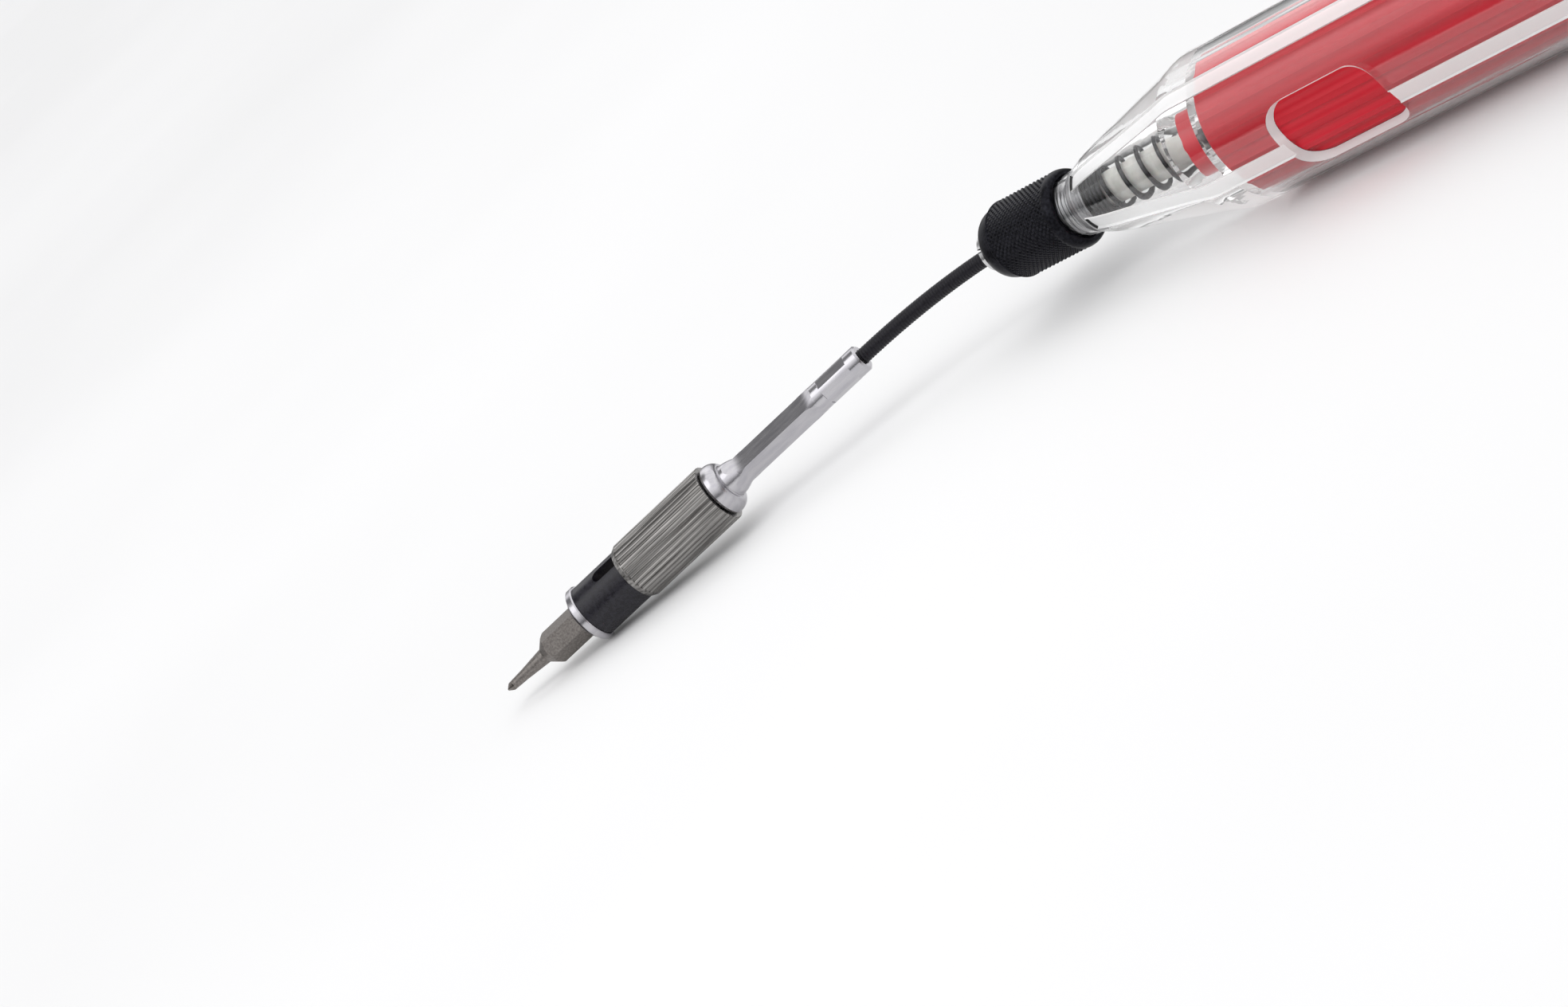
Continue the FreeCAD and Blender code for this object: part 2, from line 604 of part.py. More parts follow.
def make_swivel_cap():
    seat = CAP_REAR - CAP_HEAD_THICK - CAP_SEAT_GAP
    side_rear = CAP_FRONT + CAP_SIDE
    head_bore_r = CAP_HEAD_R + CAP_HEAD_GAP
    inside = [
        (CAP_REAR, head_bore_r), (seat, head_bore_r), (seat, CAP_BORE_R), (CAP_FRONT, CAP_BORE_R),
        (CAP_FRONT, CAP_R - CAP_EDGE), (CAP_FRONT + CAP_EDGE, CAP_R),
    ]
    return turned(inside, quarter((side_rear, CAP_R - CAP_DOME), CAP_REAR - side_rear, CAP_DOME))


def make_cap_screw():
    head_front = CAP_REAR - CAP_HEAD_THICK
    head_rear = CAP_REAR - CAP_HEAD_INSET
    screw = turned([
        (CAP_SCREW_FRONT, 0), (CAP_SCREW_FRONT, CAP_SCREW_R), (head_front, CAP_SCREW_R), (head_front, CAP_HEAD_R),
        (head_rear - CAP_HEAD_EDGE, CAP_HEAD_R), (head_rear, CAP_HEAD_R - CAP_HEAD_EDGE), (head_rear, 0),
    ])
    slot = Part.makeBox(1, CAP_SCREW_SLOT, 3 * CAP_HEAD_R)
    return screw.cut(moved(slot, head_rear - CAP_SCREW_SLOT, -CAP_SCREW_SLOT / 2, -1.5 * CAP_HEAD_R))


# Putting the tool together

def drive_frame():
    """From the drive frame to the tool frame: the stem's rear rim is at the shaft's front end."""
    end = shaft_point(SHAFT_BEND)
    turn = FreeCAD.Rotation(Z_AXIS, SHAFT_BEND)
    back = turn.multVec(FreeCAD.Vector(STEM_REAR, 0, 0))
    return FreeCAD.Placement(end - back, turn)


def in_drive_frame(shape):
    copy = shape.copy()
    copy.Placement = drive_frame().multiply(copy.Placement)
    return copy


def roll_angle():
    """Roll about the handle axis, in degrees, that lets the socket ring touch the table that the handle lies on."""
    rim = drive_frame().multVec(FreeCAD.Vector(RING_FRONT, 0, 0))
    drop = HANDLE_R - RING_R
    low, high = 0.0, 45.0
    for _ in range(50):
        middle = (low + high) / 2
        if -rim.y * math.sin(math.radians(middle)) < drop:
            low = middle
        else:
            high = middle
    return low


def tool_pieces():
    """Every piece in the tool frame, by name."""
    drive = {
        "hex_bit": make_hex_bit(),
        "bit_socket": make_bit_socket(),
        "socket_ring": make_socket_ring(),
        "socket_magnet": make_socket_magnet(),
        "fluted_sleeve": make_fluted_sleeve(),
        "sleeve_guide_pin": make_sleeve_guide_pin(),
        "sleeve_spring": make_sleeve_spring(),
        "drive_stem": make_drive_stem(),
        "front_shank": rod(STEM_REAR - FERRULE_BORE_DEPTH + 0.1, STEM_REAR, SHAFT_R),
    }
    pieces = {name: in_drive_frame(shape) for name, shape in drive.items()}
    for index, span in enumerate(SHAFT_SPANS):
        pieces["shaft_coil_" + span] = shaft_span(index, SHAFT_R, COIL_BORE_R)
        pieces["shaft_core_" + span] = shaft_span(index, CORE_R, 0)
    pieces["rear_shank"] = rod(SHAFT_IN_COLLET, SHAFT_IN_COLLET + SHANK_LENGTH, SHAFT_R)
    pieces["collet"] = make_collet()
    pieces["chuck_nut"] = make_chuck_nut()
    pieces["handle_shell"] = make_handle_shell()
    pieces["collet_bush"] = make_collet_bush()
    pieces["nose_spring"] = make_nose_spring()
    pieces["magazine"] = make_magazine()
    pieces["guide_tube"] = make_guide_tube()
    pieces["spare_bits"] = make_spare_bits()
    pieces["magazine_lid"] = make_magazine_lid()
    pieces["rear_plug"] = make_rear_plug()
    pieces["plug_o_ring"] = make_plug_o_ring()
    pieces["cap_washer"] = make_cap_washer()
    pieces["swivel_cap"] = make_swivel_cap()
    pieces["cap_screw"] = make_cap_screw()
    return pieces


def table_frame(pieces):
    """From the tool frame to the row frame: rolled, lifted onto the table, and centred over the origin."""
    roll = FreeCAD.Placement(ORIGIN, FreeCAD.Rotation(X_AXIS, roll_angle()))
    box = FreeCAD.BoundBox()
    for shape in pieces.values():
        copy = shape.copy()
        copy.Placement = roll.multiply(copy.Placement)
        box.add(copy.optimalBoundingBox(False))
    lift = FreeCAD.Vector(-box.Center.x, -box.Center.y, -box.ZMin)
    return FreeCAD.Placement(lift, FreeCAD.Rotation()).multiply(roll)


def main():
    os.makedirs("parts", exist_ok=True)
    pieces = tool_pieces()
    place = table_frame(pieces)
    for name, shape in pieces.items():
        shape.Placement = place.multiply(shape.Placement)
        shape.exportStep("parts/" + name + ".step")
        print(name, "valid" if shape.isValid() else "INVALID", len(shape.Solids), round(shape.Volume, 2))
    return place


if __name__ == "__main__":
    main()
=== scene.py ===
"""Looks of a pocket precision screwdriver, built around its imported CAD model. Metres, in the row frame."""

import json
import math

import bpy
from mathutils import Matrix, Vector


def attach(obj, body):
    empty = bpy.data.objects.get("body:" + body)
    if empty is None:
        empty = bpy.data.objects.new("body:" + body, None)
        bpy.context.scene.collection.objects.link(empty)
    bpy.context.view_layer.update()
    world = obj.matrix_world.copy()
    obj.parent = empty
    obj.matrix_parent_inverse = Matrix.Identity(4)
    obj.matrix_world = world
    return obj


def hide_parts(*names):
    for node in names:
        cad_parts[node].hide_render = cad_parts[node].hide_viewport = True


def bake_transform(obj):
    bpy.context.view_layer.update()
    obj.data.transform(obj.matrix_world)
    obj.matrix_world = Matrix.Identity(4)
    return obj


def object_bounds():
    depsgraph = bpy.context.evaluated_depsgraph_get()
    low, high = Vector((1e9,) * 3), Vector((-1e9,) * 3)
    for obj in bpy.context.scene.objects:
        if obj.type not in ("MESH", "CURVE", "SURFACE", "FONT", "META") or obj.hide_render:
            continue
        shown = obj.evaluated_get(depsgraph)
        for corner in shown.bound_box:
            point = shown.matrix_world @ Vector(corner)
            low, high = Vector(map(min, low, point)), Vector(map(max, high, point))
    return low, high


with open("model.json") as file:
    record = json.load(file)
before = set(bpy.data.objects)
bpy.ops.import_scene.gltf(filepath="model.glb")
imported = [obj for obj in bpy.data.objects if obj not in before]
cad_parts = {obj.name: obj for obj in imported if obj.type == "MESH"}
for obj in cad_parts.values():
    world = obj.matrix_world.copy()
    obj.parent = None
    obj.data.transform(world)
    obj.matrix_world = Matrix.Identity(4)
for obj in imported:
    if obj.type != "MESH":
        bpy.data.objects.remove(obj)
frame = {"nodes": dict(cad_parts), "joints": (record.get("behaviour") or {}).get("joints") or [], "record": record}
CAD_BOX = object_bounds()

MM = 0.001
JOINTS = {joint["name"]: joint for joint in frame["joints"]}

# Camera: angles in degrees, lens in millimetres, the rest in metres
AZIMUTH = 49.52
ELEVATION = 15.26
ROLL = -43.21
DISTANCE = 0.5447
LENS = 106.87
AIM_FROM_MOUTH = (-0.02366, -0.02971, -0.00471)
NEAR_CLIP = 0.01

# Studio lamps: name, direction from the tool, distance and size in metres, and power in watts
LAMPS = (("key", (-0.15, -0.5, 1.0), 0.6, 0.4, 0.3),
         ("fill", (1.0, -0.6, 0.5), 0.7, 0.5, 0.06),
         ("rim", (-0.6, 0.9, 0.8), 0.6, 0.4, 0.1))

# Sky: (height, tone) steps, where height is 0 at the horizon and 1 straight up. It is white above them.
SKY = ((0.05, 0.06), (0.62, 1.0))
SKY_BLUE = 1.01
SKY_STRENGTH = 1.3

# Dark flag in the sky, which the stem's upper side mirrors
FLAG_WAY = (-0.484, 0.004, 0.873)
FLAG_TONE = 0.2
FLAG_DARK_HALF = math.radians(14)
FLAG_EDGE_HALF = math.radians(24)

FLOOR_HALF = 4.0

# Faces that meet at more than this angle keep a sharp edge
SHARP = math.radians(40)

# Chuck nut, from the collet's mouth. KNURL_BLUNTING above 1 flattens the points of the knurl.
NUT_FRONT = 1.6 * MM
NUT_REAR = 15.5 * MM
NUT_R = 4.84 * MM
NUT_NOSE_R = 4.4 * MM
NUT_MOUTH_R = 2.95 * MM
NUT_NOSE_LENGTH = 2.1 * MM
NUT_NOSE_STEPS = 8
NUT_NOSE_SWELL = 0.01 * MM
NUT_SHOULDER = 0.45 * MM
NUT_KNURL_FRONT = 4.5 * MM
NUT_KNURL_REAR = 14.3 * MM
NUT_EDGE = 1.2 * MM
NUT_EDGE_DROP = 0.65 * MM
NUT_EDGE_STEPS = 6
NUT_BORE_R = 3.98 * MM
NUT_BORE_FRONT = 5.7 * MM
NUT_CONE_REAR = 5.0 * MM
NUT_CONE_REAR_R = 3.41 * MM
NUT_CONE_FRONT = 1.8 * MM
NUT_LIP_R = 2.66 * MM
KNURL_STARTS = 44
KNURL_DEPTH = 0.16 * MM
KNURL_STEPS = 6
KNURL_BLUNTING = 1.35

# Flexible shaft. COIL_RIB runs from 0 for a smooth coil to 1 for the wire's whole round, and BEND_SHARES
# are the shares of the length between which the shaft bends.
SHAFT_R = 0.98 * MM
SHAFT_WIRE = 0.42 * MM
COIL_BORE_R = 0.55 * MM
CORE_R = 0.5 * MM
COIL_RIB = 0.8
COIL_AROUND = 24
COIL_STEPS = 8
COIL_SHARP = math.radians(70)
CORE_AROUND = 12
CORE_STEPS = 12
SPANS = ("rear", "front")

# Handle shell, in millimetres and radians
GROOVES = 5
GROOVE_TURN = math.radians(23.2)
GROOVE_HALF = 1.02
GROOVE_FRONT = 19.1
WINDOW_TURN = math.radians(0.2)
WINDOW_CENTRE = 61.0

# Milky places on the shell, in millimetres: the groove floors, and the bevels round the windows, whose milky white
# is a painted highlight
FROST_R = 8.6
FROST_CONE_SLOPE = 0.25
FROST_CONE_R = -1.2
BEVEL_HALF_LENGTH = 8.6
BEVEL_HALF_WIDTH = 5.75
BEVEL_DEPTH = 4.0
BEVEL_INNER_R = 8.36
BEVEL_OUTER_R = 9.43

# Clear plastic: roughness of the milky places and of the flow lines, and the light that the milk keeps back, which
# on the windows' bevels makes a painted white highlight
FROST_ROUGHNESS = 0.38
FLOW_ROUGHNESS = 0.08
FROST_AND_HIGHLIGHT_OPACITY = 0.72

# Bush and nose spring, from the collet's mouth
BUSH_FRONT = 5.9 * MM
BUSH_REAR = 20.3 * MM
BUSH_R = 3.2 * MM
BUSH_BORE_R = 2.8 * MM
BUSH_PITCH = 0.6 * MM
BUSH_THREAD = 0.16 * MM
BUSH_AROUND = 48
BUSH_STEPS = 6
BUSH_SHARP = math.radians(25)
NOSE_SPRING_END = 38.58 * MM
NOSE_SPRING_R = 2.38 * MM
NOSE_SPRING_WIRE_R = 0.36 * MM
NOSE_SPRING_GAP = 0.02 * MM
DEAD_TURNS = 4
DEAD_PITCH = 2.08 * NOSE_SPRING_WIRE_R
ACTIVE_TURNS = 4

# Drive end, from the bit's tip
STEM_REAR = 63.3 * MM
SLEEVE_SPRING = (27.55 * MM, 36.65 * MM)
SLEEVE_SPRING_R = 3.28 * MM
SLEEVE_SPRING_WIRE_R = 0.22 * MM
SLEEVE_SPRING_TURNS = 6


class Line:
    """An axis with an origin: x runs along it, and z is the direction that angles start from."""

    def __init__(self, origin, along, up):
        self.origin = Vector(origin)
        self.x = Vector(along).normalized()
        self.z = Vector(up).normalized()
        self.y = self.z.cross(self.x)

    def point(self, x, radius=0.0, angle=0.0):
        spoke = self.z * math.cos(angle) - self.y * math.sin(angle)
        return self.origin + self.x * x + spoke * radius


MOUTH = Vector(JOINTS["chuck_nut_turn"]["pos_m"])
PLANE_UP = Vector(JOINTS["shaft_bend"]["axis"])
DRIVE_X = Vector(JOINTS["drive_turn"]["axis"])
HANDLE = Line(MOUTH, -Vector(JOINTS["chuck_nut_turn"]["axis"]), PLANE_UP)
DRIVE = Line(Vector(JOINTS["drive_turn"]["pos_m"]) - DRIVE_X * STEM_REAR, DRIVE_X, PLANE_UP)


# Meshes

def mesh_object(name, points, faces, sharp=SHARP):
    mesh = bpy.data.meshes.new(name)
    mesh.from_pydata([tuple(p) for p in points], [], faces)
    mesh.polygons.foreach_set("use_smooth", [True] * len(mesh.polygons))
    mesh.set_sharp_from_angle(angle=sharp)
    piece = bpy.data.objects.new(name, mesh)
    bpy.context.scene.collection.objects.link(piece)
    return piece


def ring_faces(rings, around, closed):
    """Quads between each ring and the next, and back to the first ring if closed."""
    faces = []
    for i in range(rings if closed else rings - 1):
        for j in range(around):
            a, b = i * around + j, i * around + (j + 1) % around
            c, d = ((i + 1) % rings) * around + (j + 1) % around, ((i + 1) % rings) * around + j
            faces.append((a, b, c, d))
    return faces


def ring_object(name, rings, closed, sharp=SHARP):
    """A mesh through rings of points. Closed rings make a hollow loop. Open ones get a cap at each end."""
    around = len(rings[0])
    faces = ring_faces(len(rings), around, closed)
    if not closed:
        faces.append(tuple(reversed(range(around))))
        faces.append(tuple(range((len(rings) - 1) * around, len(rings) * around)))
    piece = mesh_object(name, [p for ring in rings for p in ring], faces, sharp)
    return outward(piece)


def outward(piece):
    """Faces of a closed mesh turned to look out of it."""
    volume = 0.0
    for polygon in piece.data.polygons:
        volume += (polygon.center - CAD_BOX[0]).dot(polygon.normal) * polygon.area
    if volume < 0:
        piece.data.flip_normals()
    return piece


# Chuck nut

def knurl(x, angle):
    """Height of the diamond knurl, from 0 in a groove to 1 on a point."""
    lead = KNURL_STARTS * x / NUT_R
    heights = []
    for hand in (1, -1):
        turn = (KNURL_STARTS * angle + hand * lead) / (2 * math.pi)
        heights.append(1 - abs(2 * (turn - math.floor(turn)) - 1))
    return min(1.0, KNURL_BLUNTING * min(heights))


def nut_profile():
    """Closed outline of the nut, as (x, radius) points, nose first."""
    points = []
    for k in range(NUT_NOSE_STEPS + 1):
        a = math.radians(90 * k / NUT_NOSE_STEPS)
        points.append((NUT_FRONT + NUT_NOSE_LENGTH * (1 - math.cos(a)),
                       NUT_MOUTH_R + (NUT_NOSE_R - NUT_MOUTH_R) * math.sin(a)))
    points.append((NUT_KNURL_FRONT - NUT_SHOULDER, NUT_NOSE_R + NUT_NOSE_SWELL))
    points.append((NUT_KNURL_FRONT, NUT_R))
    length = NUT_KNURL_REAR - NUT_KNURL_FRONT
    rows = KNURL_STEPS * round(KNURL_STARTS * length / (2 * math.pi * NUT_R))
    for k in range(1, rows):
        points.append((NUT_KNURL_FRONT + length * k / rows, NUT_R))
    for k in range(NUT_EDGE_STEPS + 1):
        a = math.radians(90 * k / NUT_EDGE_STEPS)
        points.append((NUT_KNURL_REAR + NUT_EDGE * math.sin(a),
                       NUT_R - NUT_EDGE_DROP * (1 - math.cos(a))))
    points += [(NUT_REAR, NUT_BORE_R), (NUT_BORE_FRONT, NUT_BORE_R), (NUT_BORE_FRONT, NUT_CONE_REAR_R),
               (NUT_CONE_REAR, NUT_CONE_REAR_R), (NUT_CONE_FRONT, NUT_LIP_R), (NUT_FRONT, NUT_LIP_R)]
    return points


def make_nut():
    around = KNURL_STARTS * KNURL_STEPS
    rings = []
    for x, radius in nut_profile():
        knurled = radius == NUT_R and NUT_KNURL_FRONT < x < NUT_KNURL_REAR
        ring = []
        for j in range(around):
            angle = 2 * math.pi * j / around
            depth = KNURL_DEPTH * (1 - knurl(x, angle)) if knurled else 0.0
            ring.append(HANDLE.point(x, radius - depth, angle))
        rings.append(ring)
    nut = ring_object("knurled_nut", rings, True)
    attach(nut, "chuck_nut")
    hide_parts("chuck_nut")
    return nut


# Flexible shaft

class Arc:
    """The shaft's centreline: a round bend from the handle's axis to the drive's."""

    def __init__(self):
        self.start = Vector(JOINTS["bend_direction_turn"]["pos_m"])
        end = Vector(JOINTS["drive_turn"]["pos_m"])
        self.ahead = -HANDLE.x
        self.turn = self.ahead.angle(-DRIVE_X)
        self.radius = (end - self.start).length / (2 * math.sin(self.turn / 2))
        across = end - self.start - self.ahead * (end - self.start).dot(self.ahead)
        self.side = across.normalized()
        self.up = PLANE_UP

    def frame_at(self, share):
        """Point and sideways direction where that share of the length is passed."""
        a = self.turn * share
        forward = self.ahead * (self.radius * math.sin(a))
        sideways = self.side * (self.radius * (1 - math.cos(a)))
        across = self.side * math.cos(a) - self.ahead * math.sin(a)
        return self.start + forward + sideways, across

    def point(self, share, radius, angle):
        centre, across = self.frame_at(share)
        return centre + (across * math.cos(angle) + self.up * math.sin(angle)) * radius

    def length(self):
        return self.radius * self.turn


ARC = Arc()


def span_shares(index):
    return index / len(SPANS), (index + 1) / len(SPANS)


def coil_radius(share, angle):
    """Outside of the wound wire there: round ribs in a helix."""
    turn = share * ARC.length() / SHAFT_WIRE + angle / (2 * math.pi)
    across = 2 * (turn - math.floor(turn)) - 1
    return SHAFT_R - SHAFT_WIRE / 2 * (1 - math.sqrt(1 - COIL_RIB * across * across))


def make_coil(index):
    first, last = span_shares(index)
    rows = round((last - first) * ARC.length() / SHAFT_WIRE * COIL_STEPS)
    shares = [first + (last - first) * k / rows for k in range(rows + 1)]
    bore_shares = shares[::COIL_STEPS] + shares[-1:]
    angles = [2 * math.pi * j / COIL_AROUND for j in range(COIL_AROUND)]
    rings = [[ARC.point(s, coil_radius(s, a), a) for a in angles] for s in shares]
    rings += [[ARC.point(s, COIL_BORE_R, a) for a in angles] for s in reversed(bore_shares)]
    return ring_object("coil_" + SPANS[index], rings, True, COIL_SHARP)


def make_core(index):
    first, last = span_shares(index)
    shares = [first + (last - first) * k / CORE_STEPS for k in range(CORE_STEPS + 1)]
    angles = [2 * math.pi * j / CORE_AROUND for j in range(CORE_AROUND)]
    rings = [[ARC.point(s, CORE_R, a) for a in angles] for s in shares]
    return ring_object("core_" + SPANS[index], rings, False)


def make_shaft():
    coils, cores = [], []
    for index, span in enumerate(SPANS):
        coil, core = make_coil(index), make_core(index)
        for piece, node, slot in ((coil, "shaft_coil_" + span, "black_steel"),
                                  (core, "shaft_core_" + span, "spring_steel")):
            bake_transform(piece)
            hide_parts(node)
        coils.append(coil)
        cores.append(core)
    return coils, cores


# Springs and bush

def helix(line, stretches, radius, wire, around=10, steps=28):
    """Rings along a wound wire. Each stretch is (first x, last x, turns) of the wire's middle."""
    middles = []
    turned = 0.0
    for first, last, turns in stretches:
        count = round(turns * steps)
        for k in range(count):
            middles.append((first + (last - first) * k / count, 2 * math.pi * (turned + turns * k / count)))
        turned += turns
    middles.append((stretches[-1][1], 2 * math.pi * turned))
    rings = []
    for x, angle in middles:
        spoke = line.point(0, 1, angle) - line.origin
        centre = line.point(x, radius, angle)
        rings.append([centre + (spoke * math.cos(2 * math.pi * j / around)
                                + line.x * math.sin(2 * math.pi * j / around)) * wire for j in range(around)])
    return rings


def make_nose_spring():
    wire = NOSE_SPRING_WIRE_R
    front = BUSH_REAR + wire + NOSE_SPRING_GAP
    middle = front + DEAD_TURNS * DEAD_PITCH
    stretches = [(front, middle, DEAD_TURNS), (middle, NOSE_SPRING_END - wire, ACTIVE_TURNS)]
    spring = ring_object("nose_spring_wire", helix(HANDLE, stretches, NOSE_SPRING_R, wire), False)
    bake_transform(spring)
    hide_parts("nose_spring")
    return spring


def make_sleeve_spring():
    wire = SLEEVE_SPRING_WIRE_R
    first, last = SLEEVE_SPRING
    stretches = [(first + wire, last - wire, SLEEVE_SPRING_TURNS)]
    spring = ring_object("sleeve_spring_wire", helix(DRIVE, stretches, SLEEVE_SPRING_R, wire), False)
    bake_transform(spring)
    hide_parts("sleeve_spring")
    return spring


def make_bush():
    """Bush with a fine thread outside."""
    rows = round((BUSH_REAR - BUSH_FRONT) / BUSH_PITCH * BUSH_STEPS)
    angles = [2 * math.pi * j / BUSH_AROUND for j in range(BUSH_AROUND)]
    rings = []
    for k in range(rows + 1):
        x = BUSH_FRONT + (BUSH_REAR - BUSH_FRONT) * k / rows
        ring = []
        for j, angle in enumerate(angles):
            turn = x / BUSH_PITCH + j / BUSH_AROUND
            depth = BUSH_THREAD * abs(2 * (turn - math.floor(turn)) - 1)
            ring.append(HANDLE.point(x, BUSH_R - depth, angle))
        rings.append(ring)
    for x in (BUSH_REAR, BUSH_FRONT):
        rings.append([HANDLE.point(x, BUSH_BORE_R, angle) for angle in angles])
    bush = ring_object("threaded_bush", rings, True, BUSH_SHARP)
    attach(bush, "handle")
    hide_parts("collet_bush")
    return bush


# Materials

# Values of the noise between which a colour or a roughness runs from its first to its second value
COLOUR_SPREAD = (0.35, 0.65)
ROUGHNESS_SPREAD = (0.3, 0.7)


class Finish:
    """One material's nodes. Its noise lies in a line's own frame, stretched along it."""

    def __init__(self, name, line=HANDLE):
        self.material = bpy.data.materials.new(name)
        self.material.use_nodes = True
        self.nodes = self.material.node_tree.nodes
        self.links = self.material.node_tree.links
        self.shader = self.nodes["Principled BSDF"]
        self.line = line

    def set(self, **values):
        for key, value in values.items():
            self.shader.inputs[key.replace("_", " ")].default_value = value
        return self

    def math(self, operation, a, b=None, c=None):
        node = self.nodes.new("ShaderNodeMath")
        node.operation = operation
        for socket, value in zip(node.inputs, (a, b, c)):
            if value is None:
                continue
            if isinstance(value, (int, float)):
                socket.default_value = value
            else:
                self.links.new(value, socket)
        return node.outputs[0]

    def coords(self, stretch):
        """Place on the piece in the line's frame, in millimetres times stretch, as x, y and z outputs."""
        source = self.nodes.new("ShaderNodeTexCoord").outputs["Object"]
        shifted = self.nodes.new("ShaderNodeVectorMath")
        shifted.operation = "SUBTRACT"
        self.links.new(source, shifted.inputs[0])
        shifted.inputs[1].default_value = self.line.origin
        outputs = []
        for axis, factor in zip((self.line.x, self.line.y, self.line.z), stretch):
            dot = self.nodes.new("ShaderNodeVectorMath")
            dot.operation = "DOT_PRODUCT"
            self.links.new(shifted.outputs[0], dot.inputs[0])
            dot.inputs[1].default_value = axis * (factor / MM)
            outputs.append(dot.outputs["Value"])
        return outputs

    def noise(self, scale=1.0, stretch=(1, 1, 1), detail=3.0):
        joined = self.nodes.new("ShaderNodeCombineXYZ")
        for socket, value in zip(joined.inputs, self.coords(stretch)):
            self.links.new(value, socket)
        noise = self.nodes.new("ShaderNodeTexNoise")
        noise.inputs["Scale"].default_value = scale
        noise.inputs["Detail"].default_value = detail
        self.links.new(joined.outputs[0], noise.inputs["Vector"])
        return noise.outputs["Fac"]

    def colour(self, dark, light, factor):
        ramp = self.nodes.new("ShaderNodeValToRGB")
        for element, place, tone in zip(ramp.color_ramp.elements, COLOUR_SPREAD, (dark, light)):
            element.position = place
            element.color = (*tone, 1)
        self.links.new(factor, ramp.inputs[0])
        self.links.new(ramp.outputs[0], self.shader.inputs["Base Color"])
        return self

    def roughness(self, low, high, factor):
        spread = self.nodes.new("ShaderNodeMapRange")
        spread.inputs["From Min"].default_value, spread.inputs["From Max"].default_value = ROUGHNESS_SPREAD
        spread.inputs["To Min"].default_value = low
        spread.inputs["To Max"].default_value = high
        self.links.new(factor, spread.inputs["Value"])
        self.links.new(spread.outputs[0], self.shader.inputs["Roughness"])
        return self

    def bump(self, height, depth, strength=1.0):
        node = self.nodes.new("ShaderNodeBump")
        node.inputs["Distance"].default_value = depth
        node.inputs["Strength"].default_value = strength
        self.links.new(height, node.inputs["Height"])
        self.links.new(node.outputs[0], self.shader.inputs["Normal"])
        return self


def finish(name, line, dark, light, rough, stretch=(1, 1, 1), scale=1.0, bump=0.0, **sockets):
    """A surface whose tone and gloss vary a little with one grain."""
    look = Finish(name, line).set(**sockets)
    grain = look.noise(scale, stretch)
    look.colour(dark, light, grain).roughness(*rough, grain)
    if bump:
        look.bump(grain, bump)
    return look.material


def metal(name, line, dark, light, rough, stretch=(1, 1, 1), scale=1.0, bump=0.0):
    return finish(name, line, dark, light, rough, stretch, scale, bump, Metallic=1.0)


# Grains: how much finer the noise is along and across the piece
TURNED = (6, 0.3, 0.3)
DRAWN = (0.12, 3, 3)


def every(look, test, *others):
    """1 where all the tests are 1, and 0 elsewhere."""
    for other in others:
        test = look.math("MULTIPLY", test, other)
    return test


def groove_frost(look, x, y, z, radius):
    """1 on the milky floors of the grooves, which are cut into the barrel and the nose cone."""
    around = look.math("ARCTAN2", look.math("MULTIPLY", y, -1.0), z)
    half_step = math.pi / GROOVES
    turn = look.math("WRAP", look.math("SUBTRACT", around, GROOVE_TURN), half_step, -half_step)
    across = look.math("ABSOLUTE", look.math("MULTIPLY", radius, look.math("SINE", turn)))
    inside = look.math("MINIMUM", FROST_R, look.math("MULTIPLY_ADD", x, FROST_CONE_SLOPE, FROST_CONE_R))
    return every(look, look.math("LESS_THAN", across, GROOVE_HALF), look.math("GREATER_THAN", radius, inside),
                 look.math("GREATER_THAN", x, GROOVE_FRONT))


def bevel_painted_highlight(look, x, y, z, radius):
    """1 on the bevels round both windows, made milky white as a painted highlight."""
    cosine, sine = math.cos(WINDOW_TURN), math.sin(WINDOW_TURN)
    along = look.math("ABSOLUTE", look.math("SUBTRACT", x, WINDOW_CENTRE))
    over = look.math("SUBTRACT", look.math("MULTIPLY", z, cosine), look.math("MULTIPLY", y, sine))
    depth = look.math("ADD", look.math("MULTIPLY", y, cosine), look.math("MULTIPLY", z, sine))
    return every(look, look.math("LESS_THAN", along, BEVEL_HALF_LENGTH),
                 look.math("LESS_THAN", look.math("ABSOLUTE", over), BEVEL_HALF_WIDTH),
                 look.math("GREATER_THAN", look.math("ABSOLUTE", depth), BEVEL_DEPTH),
                 look.math("GREATER_THAN", radius, BEVEL_INNER_R),
                 look.math("LESS_THAN", radius, BEVEL_OUTER_R))


def frost_and_painted_highlight(look):
    """1 on the milky floors of the grooves and on the windows' bevels, whose milky white is a painted highlight,
    and 0 elsewhere on the shell.
    """
    x, y, z = look.coords((1, 1, 1))
    radius = look.math("SQRT", look.math("ADD", look.math("MULTIPLY", y, y), look.math("MULTIPLY", z, z)))
    return look.math("MAXIMUM", groove_frost(look, x, y, z, radius), bevel_painted_highlight(look, x, y, z, radius))


